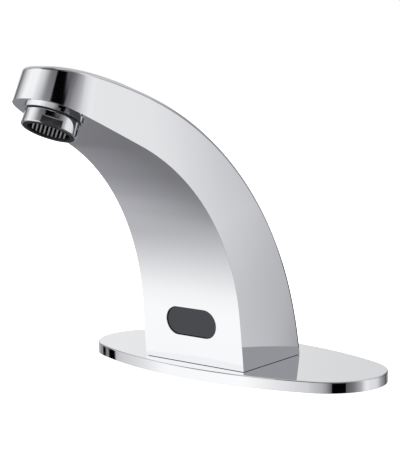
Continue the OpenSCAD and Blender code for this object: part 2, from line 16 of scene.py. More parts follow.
import bpy
from mathutils import Matrix, Vector

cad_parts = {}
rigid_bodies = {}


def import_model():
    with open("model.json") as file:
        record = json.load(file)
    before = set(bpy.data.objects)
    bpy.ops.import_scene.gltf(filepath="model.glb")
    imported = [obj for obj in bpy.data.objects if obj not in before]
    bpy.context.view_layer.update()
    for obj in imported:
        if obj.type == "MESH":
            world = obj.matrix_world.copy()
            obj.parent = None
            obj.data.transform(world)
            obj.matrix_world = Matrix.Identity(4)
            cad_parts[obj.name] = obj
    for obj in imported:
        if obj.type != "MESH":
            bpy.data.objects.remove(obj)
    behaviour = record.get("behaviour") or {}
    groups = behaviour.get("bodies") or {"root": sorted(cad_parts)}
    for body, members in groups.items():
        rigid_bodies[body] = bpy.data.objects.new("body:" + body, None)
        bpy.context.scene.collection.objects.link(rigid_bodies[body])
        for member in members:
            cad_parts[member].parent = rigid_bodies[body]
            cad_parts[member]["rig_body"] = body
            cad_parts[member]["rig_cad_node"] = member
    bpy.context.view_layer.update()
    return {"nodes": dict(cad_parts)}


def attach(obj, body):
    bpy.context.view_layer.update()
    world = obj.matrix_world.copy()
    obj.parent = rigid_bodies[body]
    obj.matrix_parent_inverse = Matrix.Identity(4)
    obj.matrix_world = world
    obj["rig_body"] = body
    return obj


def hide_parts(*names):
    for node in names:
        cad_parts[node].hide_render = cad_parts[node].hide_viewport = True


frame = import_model()
nodes = frame["nodes"]
MM = 0.001
MERGE = 0.002 * MM  # points closer together than this count as one

# %% [markdown]
# ## The camera
#
# The photograph was taken from a little above the plate, about forty degrees round to the right of
# the spout, with a long lens that keeps upright edges upright. Such a camera could be set by eye in
# the viewport. Here its place and turn were fitted to points that both the CAD model and the
# photograph show, because a small error in its tilt already opens or closes the plate's outline. The
# focal length comes from the sensor's 36 mm, spread over the picture's long side. There is no shift
# and no depth of field.

# %% Make the camera
CAMERA_PLACE = Vector((429.73, -530.47, 146.54)) * MM
CAMERA_TURN = math.radians(40.485)
CAMERA_TILT = math.radians(6.708)
CAMERA_LENS = 112.3
camera_data = bpy.data.cameras.new("studio_camera")
camera = bpy.data.objects.new("studio_camera", camera_data)
bpy.context.scene.collection.objects.link(camera)
camera.location = CAMERA_PLACE
camera.rotation_euler = (math.pi / 2 - CAMERA_TILT, 0, CAMERA_TURN)
camera_data.lens = CAMERA_LENS
camera_data.clip_start, camera_data.clip_end = 0.05, 50
bpy.context.scene.camera = camera
print("camera", round(CAMERA_PLACE.length, 3), "m from the shank")

# %% [markdown]
# ## Small helpers for editing by hand
#
# Blender's operators work on what is selected and active, so each helper first clears the
# selection. Faces and edges are picked in code, by where they are or which way they look.

# %% Helpers: select and pick
def only(piece):
    """Make piece the only selected and the active object."""
    if bpy.context.object and bpy.context.object.mode != "OBJECT":
        bpy.ops.object.mode_set(mode="OBJECT")
    bpy.ops.object.select_all(action="DESELECT")
    piece.select_set(True)
    bpy.context.view_layer.objects.active = piece


def pick(piece, kind, test):
    """Enter edit mode with the edges, vertices or faces of piece selected for which test is true."""
    only(piece)
    bpy.ops.object.mode_set(mode="EDIT")
    bpy.ops.mesh.select_mode(type=kind)
    bpy.ops.mesh.select_all(action="DESELECT")
    bpy.ops.object.mode_set(mode="OBJECT")
    items = {"VERT": piece.data.vertices, "EDGE": piece.data.edges, "FACE": piece.data.polygons}[kind]
    chosen = [item for item in items if test(item)]
    for item in chosen:
        item.select = True
    bpy.ops.object.mode_set(mode="EDIT")
    return len(chosen)


def leave():
    bpy.ops.object.mode_set(mode="OBJECT")


# %% Helpers: bevel, apply, merge and smooth
def bevel(width, segments, clamped=True):
    """Round the selected edges, width in mm, and leave edit mode."""
    bpy.ops.mesh.bevel(offset=width * MM, segments=segments, profile=0.5, affect="EDGES", clamp_overlap=clamped)
    leave()


def apply_modifier(piece, kind, **settings):
    """Add one modifier, set it, and apply it."""
    only(piece)
    modifier = piece.modifiers.new(kind.lower(), kind)
    for name, value in settings.items():
        setattr(modifier, name, value)
    bpy.ops.object.modifier_apply(modifier=modifier.name)


def outward(piece):
    """Merge doubled points and turn every face outwards."""
    pick(piece, "VERT", lambda v: True)
    bpy.ops.mesh.remove_doubles(threshold=MERGE)
    bpy.ops.mesh.normals_make_consistent(inside=False)
    leave()


def smooth(piece, degrees, weighted=True):
    """Smooth shading up to an angle. Weighted normals keep flat faces flat beside a bevel."""
    only(piece)
    bpy.ops.object.shade_smooth_by_angle(angle=math.radians(degrees))
    if weighted:
        apply_modifier(piece, "WEIGHTED_NORMAL", keep_sharp=True, weight=80)


# %% [markdown]
# An edge tells little about itself. What matters is how the two faces beside it meet, so their
# normals, the angle between them and whether the corner points outwards are worked out once for
# the whole mesh. Each bevel then picks its edges from these facts.

# %% Helper: facts about edges
NO_FACTS = (Vector(), Vector(), Vector(), 0, False)


def edge_facts(piece):
    """For each edge between two faces: midpoint, both normals, the angle, and whether it is convex."""
    mesh = piece.data
    beside = {}
    for face in mesh.polygons:
        for key in face.edge_keys:
            beside.setdefault(key, []).append(face)
    facts = {}
    for edge in mesh.edges:
        faces = beside.get(tuple(sorted(edge.vertices)), [])
        if len(faces) != 2:
            continue
        a, b = faces
        middle = (mesh.vertices[edge.vertices[0]].co + mesh.vertices[edge.vertices[1]].co) / 2
        angle = math.degrees(a.normal.angle(b.normal, 0.0))
        convex = (b.center - a.center).dot(a.normal) < 0
        facts[edge.index] = (middle, a.normal.copy(), b.normal.copy(), angle, convex)
    return facts


# %% [markdown]
# ## A skin from a CAD node
#
# The casting's shape is a loft that the CAD model already holds exactly. Modelling it again would
# only add errors, so its skin starts as a copy. The frame's mesh is loose triangles: the copy is
# merged, and pairs of triangles become quads, so that edges run in clean rows that can be bevelled.

# %% Helper: merged copy of a CAD node
def skin_of(node, name):
    """A copy of a CAD node with its triangles merged and paired, free of the node's own marks."""
    only(nodes[node])
    bpy.ops.object.duplicate()
    skin = bpy.context.object
    skin.name = name
    bpy.ops.object.parent_clear(type="CLEAR_KEEP_TRANSFORM")
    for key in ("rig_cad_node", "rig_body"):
        if key in skin:
            del skin[key]
    skin.data.materials.clear()
    pick(skin, "VERT", lambda v: True)
    bpy.ops.mesh.remove_doubles(threshold=MERGE)
    bpy.ops.mesh.tris_convert_to_quads(face_threshold=math.radians(8), shape_threshold=math.radians(80))
    bpy.ops.mesh.dissolve_limited(angle_limit=math.radians(0.05))
    leave()
    print(name, "from", node + ":", len(skin.data.polygons), "faces")
    return skin


# %% [markdown]
# ## The casting
#
# On the real tap the casting is polished after casting, which leaves a fine radius where the
# concave face meets the sides. It reads as a thin line of light and dark along the whole curve,
# so those edges are found and bevelled: they are convex, and lie on the line of the front face.
# Low down the face is one large polygon round the window's hole. Its centre says little about its
# corners, so these are picked by place alone. The window's rim and the collar's rim follow, each
# with a radius of its own.

# %% The line of the front face, seen from the side
FOOT = Vector((-31.7, 5.4))
FACE_LEAN = math.radians(5.7)
FACE_STRAIGHT = 25.6
FACE_RADIUS = 99.0
TIP_ANGLE = math.radians(65)
ARC_START = FOOT + FACE_STRAIGHT * Vector((-math.sin(FACE_LEAN), math.cos(FACE_LEAN)))
ARC_CENTRE = ARC_START - FACE_RADIUS * Vector((math.cos(FACE_LEAN), math.sin(FACE_LEAN)))
TIP_START = ARC_CENTRE + FACE_RADIUS * Vector((math.cos(TIP_ANGLE), math.sin(TIP_ANGLE)))


def off_face(p):
    """Distance in mm of a point from the line of the front face and underside, seen from the side."""
    q = Vector((p.y, p.z)) / MM
    turn = math.atan2(q.y - ARC_CENTRE.y, q.x - ARC_CENTRE.x)
    if turn < FACE_LEAN:
        return abs((q - FOOT).dot(Vector((math.cos(FACE_LEAN), math.sin(FACE_LEAN)))))
    if turn < TIP_ANGLE:
        return abs((q - ARC_CENTRE).length - FACE_RADIUS)
    return abs((q - TIP_START).dot(Vector((math.cos(TIP_ANGLE), math.sin(TIP_ANGLE)))))


OUTLET_FOOT = Vector((0, -120.097, 124.374)) * MM
OUTLET_AXIS = Vector((0, -math.sin(math.pi / 2 - TIP_ANGLE), -math.cos(math.pi / 2 - TIP_ANGLE)))
COLLAR = 1.2  # how far the collar stands out
print("front face: foot", [round(v, 1) for v in FOOT], "arc centre", [round(v, 1) for v in ARC_CENTRE])

# %% Skin of the casting, with its front edges
ON_LINE = 0.12  # in mm, the largest distance of an edge that counts as lying on the face
SHARP, SQUARE = 40, 60  # smallest angles in degrees of the edges that are bevelled
BODY_SMOOTH = 33
WINDOW_SIDE, WINDOW_LOW, WINDOW_HIGH = 17 * MM, 12 * MM, 40 * MM
LOW_FACE_TOP, LOW_FACE_SIDE = 32 * MM, 20 * MM
OUTLET_REACH, COLLAR_REACH = 14.2 * MM, 15 * MM
FOOT_LINE = 5.6 * MM
body_chrome = skin_of("body_shell", "body_chrome")
facts = edge_facts(body_chrome)


def on_front_edge(edge):
    middle, na, nb, angle, convex = facts.get(edge.index, NO_FACTS)
    low_corner = middle.z < LOW_FACE_TOP and abs(middle.x) > LOW_FACE_SIDE
    if angle < SHARP or not (convex or low_corner) or off_face(middle) > ON_LINE:
        return False
    in_window = abs(middle.x) < WINDOW_SIDE and middle.z < WINDOW_HIGH
    near_outlet = (middle - OUTLET_FOOT).length < OUTLET_REACH
    return not in_window and not near_outlet and middle.z > FOOT_LINE


count = pick(body_chrome, "EDGE", on_front_edge)
bevel(0.6, 4)
print("front edges bevelled:", count)


# %% Rims of the window and the collar
def on_window_edge(edge):
    middle, na, nb, angle, convex = facts.get(edge.index, NO_FACTS)
    in_window = abs(middle.x) < WINDOW_SIDE and WINDOW_LOW < middle.z < WINDOW_HIGH
    return angle > SQUARE and off_face(middle) < ON_LINE and in_window


facts = edge_facts(body_chrome)
count = pick(body_chrome, "EDGE", on_window_edge)
bevel(0.25, 3)
print("window edges bevelled:", count)


def on_collar_edge(edge):
    middle, na, nb, angle, convex = facts.get(edge.index, NO_FACTS)
    out = (middle - OUTLET_FOOT).dot(OUTLET_AXIS)
    at_rim = abs(out - COLLAR * MM) < 0.05 * MM and (middle - OUTLET_FOOT).length < COLLAR_REACH
    return convex and angle > SHARP and at_rim


facts = edge_facts(body_chrome)
count = pick(body_chrome, "EDGE", on_collar_edge)
bevel(0.5, 4)
print("collar edges bevelled:", count)
smooth(body_chrome, BODY_SMOOTH)
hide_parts("body_shell")
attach(body_chrome, "tap")

# %% [markdown]
# ## The cover plate
#
# A stamped and polished plate. Its upper edge has a small radius that catches a dark line all
# round the rim, and its lower edge is only broken. It could be a filled curve, extruded and
# bevelled. A copy of the CAD node is surer, because its hole and its gasket's pocket are already in
# their places, and only the rim's two rings of edges are left to pick, by height and by distance.

# %% Skin of the cover plate
PLATE_TOP = 5.2
RIM_REACH = 30 * MM  # the plate's rim lies farther out than this, its hole nearer
plate_chrome = skin_of("deck_plate", "plate_chrome")


def on_rim_at(z):
    def test(edge):
        middle, na, nb, angle, convex = facts.get(edge.index, NO_FACTS)
        flat = max(abs(na.z), abs(nb.z)) > 0.99
        at_rim = abs(middle.z - z) < 0.02 * MM and middle.xy.length > RIM_REACH
        return convex and angle > SQUARE and flat and at_rim
    return test


facts = edge_facts(plate_chrome)
top_count = pick(plate_chrome, "EDGE", on_rim_at(PLATE_TOP * MM))
bevel(0.7, 5)
facts = edge_facts(plate_chrome)
low_count = pick(plate_chrome, "EDGE", on_rim_at(0))
bevel(0.25, 2)
smooth(plate_chrome, BODY_SMOOTH)
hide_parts("deck_plate")
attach(plate_chrome, "tap")
print("plate edges bevelled:", top_count, "above,", low_count, "below")

# %% [markdown]
# ## The sensor window
#
# A moulded lens pushed in from behind, with a soft front edge. It stands a little behind the face.
# A cube with two round ends would give the same shape, but the lens has to fill its seat all round,
# so it starts as a copy as well. Its front edge is found by the face that looks out of the tap.

# %% Skin of the window
window_lens = skin_of("sensor_window", "window_lens")
facts = edge_facts(window_lens)
FACE_NORMAL = Vector((0, -math.cos(FACE_LEAN), -math.sin(FACE_LEAN)))


def on_lens_edge(edge):
    middle, na, nb, angle, convex = facts.get(edge.index, NO_FACTS)
    front = max(na.dot(FACE_NORMAL), nb.dot(FACE_NORMAL)) > 0.99
    return convex and angle > SQUARE and front and off_face(middle) < 1


count = pick(window_lens, "EDGE", on_lens_edge)
bevel(0.3, 4)
smooth(window_lens, BODY_SMOOTH)
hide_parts("sensor_window")
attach(window_lens, "tap")
print("lens edges bevelled:", count)

# %% [markdown]
# ## Turned pieces
#
# The cup, shank and washers come off a lathe. By hand such a piece is made from a circle: extrude
# it along the axis, scale the new ring, and repeat for each line of the profile. When the profile
# comes back to its start, merging closes the wall.

# %% Helper: turn a closed profile
def turned(name, profile, sides, place=None):
    """A closed ring from (radius, height) pairs in mm, turned about +Z, then put in its place."""
    bpy.ops.object.select_all(action="DESELECT")
    radius, height = profile[0]
    bpy.ops.mesh.primitive_circle_add(vertices=sides, radius=radius * MM, location=(0, 0, height * MM))
    piece = bpy.context.object
    piece.name = name
    bpy.ops.object.transform_apply(location=True, rotation=True, scale=True)
    bpy.ops.object.mode_set(mode="EDIT")
    bpy.ops.mesh.select_mode(type="EDGE")
    bpy.ops.mesh.select_all(action="SELECT")
    for next_radius, next_height in profile[1:] + profile[:1]:
        rise, grow = (next_height - height) * MM, next_radius / radius
        bpy.ops.mesh.extrude_edges_move(TRANSFORM_OT_translate={"value": (0, 0, rise)})
        bpy.ops.transform.resize(value=(grow, grow, 1))
        radius, height = next_radius, next_height
    leave()
    outward(piece)
    if place is not None:
        put(piece, place)
    return piece


def put(piece, place):
    """Move a finished piece to its place and keep the place in its mesh."""
    only(piece)
    piece.matrix_world = place
    bpy.ops.object.transform_apply(location=True, rotation=True, scale=True)


def rounded(corners, radius, steps=3):
    """A closed profile with each corner cut round: corners are (r, z) pairs in mm."""
    points = []
    for i, corner in enumerate(corners):
        here = Vector(corner)
        before, after = Vector(corners[i - 1]), Vector(corners[(i + 1) % len(corners)])
        a, b = (before - here).normalized(), (after - here).normalized()
        reach = min(radius, 0.45 * (before - here).length, 0.45 * (after - here).length)
        for k in range(steps + 1):
            t = k / steps
            points.append(here + a * reach * (1 - t) ** 2 + b * reach * t ** 2)
    return [(p.x, p.y) for p in points]


# %% Where the outlet is, and how round the pieces are
SIDES, FINE_SIDES = 96, 144  # round the turned pieces, and round those in the middle of the picture
AT_OUTLET = Matrix.Translation(OUTLET_FOOT) @ Matrix.Rotation(math.pi / 2 + TIP_ANGLE, 4, "X")
print("outlet axis", [round(v, 4) for v in AT_OUTLET.col[2].xyz])

# %% [markdown]
# ## A thread
#
# A thread is one small profile swept along a helix. The Screw modifier does this: it turns the
# profile about Z, climbs one pitch a turn, and repeats. The ridge sits on a plain core, and its
# open ends are filled.

# %% Helper: helical ridge
def ridge(name, root, crest, pitch, turns, start, steps=48):
    """One thread ridge about +Z: root and crest radius, pitch and start height in mm."""
    bpy.ops.object.select_all(action="DESELECT")
    bpy.ops.mesh.primitive_plane_add(size=1)
    piece = bpy.context.object
    piece.name = name
    corners = [(root, -0.42), (crest, -0.1), (root, 0.42), (crest, 0.1)]
    for vertex, (radius, share) in zip(piece.data.vertices, corners):
        vertex.co = Vector((radius, 0, start + share * pitch)) * MM
    pick(piece, "FACE", lambda f: True)
    bpy.ops.mesh.delete(type="ONLY_FACE")
    leave()
    apply_modifier(piece, "SCREW", axis="Z", angle=2 * math.pi, screw_offset=pitch * MM, iterations=turns,
                   steps=steps, render_steps=steps, use_merge_vertices=True, merge_threshold=0.001 * MM)
    pick(piece, "VERT", lambda v: True)
    bpy.ops.mesh.select_all(action="DESELECT")
    bpy.ops.mesh.select_non_manifold(extend=False)
    bpy.ops.mesh.fill_holes(sides=8)
    leave()
    outward(piece)
    return piece


def join(name, *parts):
    only(parts[0])
    for part in parts[1:]:
        part.select_set(True)
    bpy.ops.object.join()
    parts[0].name = name
    return parts[0]


# %% [markdown]
# ## The aerator cup
#
# A turned brass cup, chrome-plated. Its thread goes up into the tip, its wall flares very slightly,
# and its lip has a small rounded edge. A black ring sits in the narrow groove under the collar and
# shows as a dark line: it is painted shade, standing for the shadow in the groove. Two flats at the
# rim take a wrench, and they are cut with boxes, as a mill would. Heights are in mm down the
# outlet's axis, from the tip's flat underside.

# %% Lines of the cup
def carve(piece, cutter, operation="DIFFERENCE"):
    """Cut one piece with another, and throw the cutter away."""
    apply_modifier(piece, "BOOLEAN", operation=operation, object=cutter, solver="EXACT")
    bpy.data.objects.remove(cutter)


CORE, NECK, CUP_RADIUS, CUP_FLARED = 11.4, 11.2, 11.97, 12.1
THREAD_END, CUP_TOP, WALL_END = -4.48, 1.75, 6.2
LIP_RADIUS, LIP_HEIGHT, LIP_ROUND = 11.6, 7.2, 0.5
MOUTH, BORE, SHOULDER = 9.7, 10.4, 5.02
SOFT = 0.12  # radius of the small corners
LIP_TURNS = [math.radians(a) for a in range(0, 91, 15)]
LIP = [(LIP_RADIUS + LIP_ROUND * math.cos(a), LIP_HEIGHT + LIP_ROUND * math.sin(a)) for a in LIP_TURNS]
WALL = rounded([(CORE, THREAD_END), (CORE, COLLAR), (NECK, COLLAR), (NECK, CUP_TOP), (CUP_RADIUS, CUP_TOP),
                (CUP_FLARED, WALL_END)], SOFT)
INSIDE = [(9.85, 7.7), (9.73, 7.66), (MOUTH, 7.55), (MOUTH, SHOULDER), (BORE, SHOULDER), (BORE, THREAD_END)]
# The first and the last corner of WALL only give their neighbours a direction, so they are left off.
CUP_LINE = WALL[4:-4] + LIP + INSIDE + [(CORE, THREAD_END)]
print("cup's line:", len(CUP_LINE), "points")

# %% Turn the cup and mill its flats
cup_chrome = turned("cup_chrome", CUP_LINE, FINE_SIDES)
FLAT_TURN = math.radians(-48)
FLAT_DEPTH, FLAT_TOP = 11.2, 4.3
CUTTER = (30, 12, 8)
for half_turn in range(2):
    bpy.ops.object.select_all(action="DESELECT")
    middle = (0, (-FLAT_DEPTH - CUTTER[1] / 2) * MM, (FLAT_TOP + CUTTER[2] / 2) * MM)
    bpy.ops.mesh.primitive_cube_add(size=1, location=middle, scale=[side * MM for side in CUTTER])
    box = bpy.context.object
    bpy.ops.object.transform_apply(location=True, rotation=True, scale=True)
    put(box, Matrix.Rotation(FLAT_TURN + half_turn * math.pi, 4, "Z"))
    carve(cup_chrome, box)
smooth(cup_chrome, 14)
print("cup with flats:", len(cup_chrome.data.polygons), "faces")

# %% Give the cup its thread, and a black ring of painted shade in its groove
cup_thread = ridge("cup_thread", 11.2, 12.0, 1.0, 4, -3.9, FINE_SIDES // 2)
smooth(cup_thread, 20, weighted=False)
join("cup_chrome", cup_chrome, cup_thread)
put(cup_chrome, AT_OUTLET)
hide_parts("aerator_housing")
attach(cup_chrome, "aerator")
# The black ring is painted shade: it darkens the groove under the collar.
RING_TOP, RING_LOW, RING_IN, RING_OUT = 1.22, 1.73, 11.22, 11.75
painted_shade_ring = turned("painted_shade_ring", rounded([
    (RING_OUT, RING_TOP), (RING_OUT, RING_LOW), (RING_IN, RING_LOW), (RING_IN, RING_TOP),
], SOFT), FINE_SIDES)
smooth(painted_shade_ring, BODY_SMOOTH)
put(painted_shade_ring, AT_OUTLET)
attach(painted_shade_ring, "aerator")
print("cup:", len(cup_chrome.data.polygons), "faces, ring:", len(painted_shade_ring.data.polygons))

# %% [markdown]
# ## The outlet grille
#
# Inside the lip sits a black sleeve. A thin black flange at its foot covers the lip: it is painted
# shade, a dark band laid over the lip where the shadow of the gap falls. A ring at the sleeve's top
# carries a row of deep grey bars. The slots could be cut out of a disc with booleans, but bars that
# stand on their own get clean rounded edges, and these catch the light one by one. One bar is made
# from a box. The others are copies, each with its own mesh, cut to the length that the ring leaves
# them, and then their edges are rounded.

# %% Model the sleeve
FIELD = 8.5  # radius of the slotted field
SLOTS = 10
PITCH = 2 * FIELD / SLOTS
GRILLE_TOP, RING_FOOT, BAR_LOW = 3.6, 5.0 - 0.02, 7.0
FRAME_OUT, SLEEVE_OUT, SLEEVE_IN = 10.33, 9.65, 9.3
# The flange's black is painted shade: it darkens the cup's lip.
SHADE_FLANGE_OUT, SHADE_FLANGE_TOP, SHADE_FLANGE_LOW = 11.1, 7.73, 7.83
grille_frame = turned("grille_frame", rounded([
    (FRAME_OUT, GRILLE_TOP), (FRAME_OUT, RING_FOOT), (SLEEVE_OUT, RING_FOOT), (SLEEVE_OUT, SHADE_FLANGE_TOP),
    (SHADE_FLANGE_OUT, SHADE_FLANGE_TOP), (SHADE_FLANGE_OUT, SHADE_FLANGE_LOW), (SLEEVE_IN, SHADE_FLANGE_LOW), (SLEEVE_IN, RING_FOOT),
    (FIELD, RING_FOOT), (FIELD, GRILLE_TOP),
], 0.15), SIDES)
smooth(grille_frame, BODY_SMOOTH)
put(grille_frame, AT_OUTLET)
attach(grille_frame, "aerator")
print("sleeve:", len(grille_frame.data.polygons), "faces")

# %% Model the bars
BAR_WIDTH, BAR_EASE, BAR_INTO_RING = 0.4 * PITCH, 0.06, 0.55
bpy.ops.object.select_all(action="DESELECT")
bpy.ops.mesh.primitive_cube_add(size=1, location=(0, 0, (GRILLE_TOP + BAR_LOW) / 2 * MM),
                                scale=(BAR_WIDTH * MM, MM, (BAR_LOW - GRILLE_TOP - BAR_EASE) * MM))
bars = [bpy.context.object]
bpy.ops.object.transform_apply(location=True, rotation=True, scale=True)
while len(bars) < SLOTS - 1:
    only(bars[0])
    bpy.ops.object.duplicate()
    bars.append(bpy.context.object)
for i, bar in enumerate(bars, 1):
    across = i * PITCH - FIELD
    length = 2 * math.sqrt((FIELD + BAR_INTO_RING) ** 2 - across ** 2)
    pick(bar, "VERT", lambda v: True)
    bpy.ops.transform.resize(value=(1, length, 1))
    bpy.ops.mesh.select_mode(type="EDGE")
    bevel(0.16, 3, clamped=False)
    put(bar, Matrix.Translation((across * MM, 0, 0)))
grille_bars = join("grille_bars", *bars)
put(grille_bars, AT_OUTLET @ Matrix.Rotation(FLAT_TURN, 4, "Z"))
smooth(grille_bars, BODY_SMOOTH)
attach(grille_bars, "aerator")
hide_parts("aerator_grille")
print("grille:", len(bars), "bars")

# %% [markdown]
# ## The clamp below the deck
#
# A brass shank with a thread of 1.5 mm pitch, a rubber and a steel washer, and a hexagon nut. A
# bump map could stand in for the thread, but its outline shows against the light, so the ridge is
# swept for real and joined to a turned core.

# %% Model the shank
SHANK_CORE, SHANK_BORE, SHANK_TOP, SHANK_LOW = 11.25, 10.0, 12.98, -58.0
shank_core = turned("shank_core", rounded([
    (SHANK_CORE, SHANK_TOP), (SHANK_CORE, -57.4), (10.6, SHANK_LOW), (SHANK_BORE, SHANK_LOW),
    (SHANK_BORE, SHANK_TOP),
], 0.2, 2), SIDES)
smooth(shank_core, BODY_SMOOTH)
shank_thread = ridge("shank_thread", 11.1, 12.0, 1.5, 45, -56.6, 48)
smooth(shank_thread, 20, weighted=False)
shank_brass = join("shank_brass", shank_core, shank_thread)
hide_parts("shank")
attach(shank_brass, "tap")
print("shank:", len(shank_brass.data.polygons), "faces")

# %% [markdown]
# The washers are plain rings, and one helper turns both. The rubber one gets the softer edges. They
# ride on a body of their own, which the nut pushes up and down the shank.

# %% Model the washers
WASHER_OUT, WASHER_IN = 22, 12.15
RUBBER_TOP, STEEL_TOP, STEEL_LOW = -20.0, -23.0, -25.0


def washer(name, top, low, edge):
    """A flat ring between two heights, with its edges rounded."""
    corners = [(WASHER_OUT, top), (WASHER_OUT, low), (WASHER_IN, low), (WASHER_IN, top)]
    piece = turned(name, rounded(corners, edge), SIDES)
    smooth(piece, BODY_SMOOTH)
    return piece


washer_rubber = washer("washer_rubber", RUBBER_TOP, STEEL_TOP, 0.5)
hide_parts("clamp_washer_rubber")
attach(washer_rubber, "clamp_washers")
washer_steel = washer("washer_steel", STEEL_TOP, STEEL_LOW, 0.3)
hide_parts("clamp_washer_steel")
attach(washer_steel, "clamp_washers")
print("washers:", len(washer_rubber.data.polygons), "and", len(washer_steel.data.polygons), "faces")

# %% [markdown]
# A nut is sawn from hexagon bar and then turned, so its six corners are cut to a cone at both ends.
# The script does the same: a cylinder of six sides is intersected with a turned ring that has the
# cones and the bore. A small bevel then breaks the edges that are left.

# %% Model the nut
NUT_TOP, NUT_LOW = -25.02, -33.02
NUT_HEIGHT = 8
NUT_CORNER = 16 / math.cos(math.pi / 6)  # from half the width across the flats
NUT_REACH = NUT_CORNER + 0.02
NUT_FACE, NUT_BORE, NUT_CHAMFER = 16.2, 12.08, 1.2
bpy.ops.object.select_all(action="DESELECT")
bpy.ops.mesh.primitive_cylinder_add(vertices=6, radius=NUT_CORNER * MM, depth=NUT_HEIGHT * MM,
                                    location=(0, 0, (NUT_TOP + NUT_LOW) / 2 * MM))
nut_brass = bpy.context.object
nut_brass.name = "nut_brass"
bpy.ops.object.transform_apply(location=True, rotation=True, scale=True)
chamfer = turned("nut_chamfer", [
    (NUT_BORE, NUT_TOP), (NUT_FACE, NUT_TOP), (NUT_REACH, NUT_TOP - NUT_CHAMFER),
    (NUT_REACH, NUT_LOW + NUT_CHAMFER), (NUT_FACE, NUT_LOW), (12.9, NUT_LOW), (NUT_BORE, NUT_LOW + 0.8),
], SIDES)
carve(nut_brass, chamfer, "INTERSECT")
apply_modifier(nut_brass, "BEVEL", width=SOFT * MM, segments=2, limit_method="ANGLE",
               angle_limit=math.radians(28))
smooth(nut_brass, 25)
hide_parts("mounting_nut")
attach(nut_brass, "nut")
print("nut:", len(nut_brass.data.polygons), "faces")

# %% [markdown]
# ## Node helpers
#
# Materials are built from a few repeated moves: add a node, set its values, link it. Shared effects
# are node groups with named inputs, built once and placed in each material with its own values.

# %% Helpers: nodes and groups
def add(tree, kind, values=None, **settings):
    """Add a node; values maps an input's name or number to a number or to another socket."""
    node = tree.nodes.new(kind)
    for name, value in settings.items():
        setattr(node, name, value)
    for key, value in (values or {}).items():
        if isinstance(value, bpy.types.NodeSocket):
            tree.links.new(value, node.inputs[key])
        else:
            node.inputs[key].default_value = value
    return node


def sums(tree, operation, *values, clamp=False):
    """One step of arithmetic, such as MULTIPLY, on numbers or sockets."""
    node = add(tree, "ShaderNodeMath", dict(enumerate(values)), operation=operation, use_clamp=clamp)
    return node.outputs[0]


def spread(tree, value, low, high, to_low, to_high, smoothly=True):
    """Map a value from one range to another, eased at both ends."""
    return add(tree, "ShaderNodeMapRange",
               {"Value": value, "From Min": low, "From Max": high, "To Min": to_low, "To Max": to_high},
               interpolation_type="SMOOTHSTEP" if smoothly else "LINEAR").outputs[0]


def group(name, inputs, outputs):
    tree = bpy.data.node_groups.new(name, "ShaderNodeTree")
    for label, value in inputs:
        socket = tree.interface.new_socket(label, in_out="INPUT", socket_type="NodeSocketFloat")
        socket.default_value = value
    for label in outputs:
        tree.interface.new_socket(label, in_out="OUTPUT", socket_type="NodeSocketFloat")
    return tree, tree.nodes.new("NodeGroupInput").outputs, tree.nodes.new("NodeGroupOutput").inputs


def use(tree, made, values):
    node = tree.nodes.new("ShaderNodeGroup")
    node.node_tree = made
    for key, value in values.items():
        node.inputs[key].default_value = value
    return node.outputs


# %% [markdown]
# ## Three shared effects
#
# *Handling marks* are what wiping leaves on polish: faint long smears and a very soft unevenness.
# *Turning marks* are fine rings with a little colour change, for pieces that come off a lathe.
# *Moulded grain* is the fine pebble and dust of rubber and plastic.

# %% Group: handling marks on polish
marks, given, result = group("handling_marks", [("Size", 1.0), ("Roughness", 0.04), ("Amount", 0.03)],
                             ["Roughness", "Tone", "Height"])
place = add(marks, "ShaderNodeTexCoord").outputs["Object"]
smears = add(marks, "ShaderNodeMapping", {"Vector": place, "Scale": (60, 60, 220)}).outputs[0]
smear = add(marks, "ShaderNodeTexNoise", {"Vector": smears, "Scale": given["Size"], "Detail": 3.0})
smear = smear.outputs["Fac"]
cloud = add(marks, "ShaderNodeTexNoise", {"Vector": place, "Scale": 38.0, "Detail": 2.0}).outputs["Fac"]
wiped = sums(marks, "MULTIPLY", spread(marks, smear, 0.45, 0.75, 0, 1), given["Amount"])
marks.links.new(sums(marks, "ADD", given["Roughness"], wiped), result["Roughness"])
marks.links.new(spread(marks, cloud, 0.3, 0.7, 0.985, 1.0), result["Tone"])
uneven = sums(marks, "ADD", sums(marks, "MULTIPLY", cloud, 0.8), sums(marks, "MULTIPLY", smear, 0.2))
marks.links.new(uneven, result["Height"])
print("group:", marks.name)

# %% Group: turning marks
rings, given, result = group("turning_marks", [("Rings", 9000.0), ("Roughness", 0.3), ("Amount", 0.15)],
                             ["Roughness", "Tone", "Height"])
place = add(rings, "ShaderNodeTexCoord").outputs["Object"]
apart = add(rings, "ShaderNodeSeparateXYZ", {0: place}).outputs
height = sums(rings, "MULTIPLY", apart["Z"], given["Rings"])
ringed = add(rings, "ShaderNodeTexNoise", {"W": height, "Scale": 1.0, "Detail": 2.0}, noise_dimensions="1D")
ringed = ringed.outputs["Fac"]
stain = add(rings, "ShaderNodeTexNoise", {"Vector": place, "Scale": 220.0, "Detail": 4.0}).outputs["Fac"]
varied = sums(rings, "SUBTRACT", sums(rings, "ADD", ringed, stain), 1.0)
varied = sums(rings, "MULTIPLY", varied, given["Amount"])
rings.links.new(sums(rings, "ADD", given["Roughness"], varied, clamp=True), result["Roughness"])
rings.links.new(spread(rings, stain, 0.3, 0.7, 0.8, 1.0), result["Tone"])
rings.links.new(ringed, result["Height"])
print("group:", rings.name)

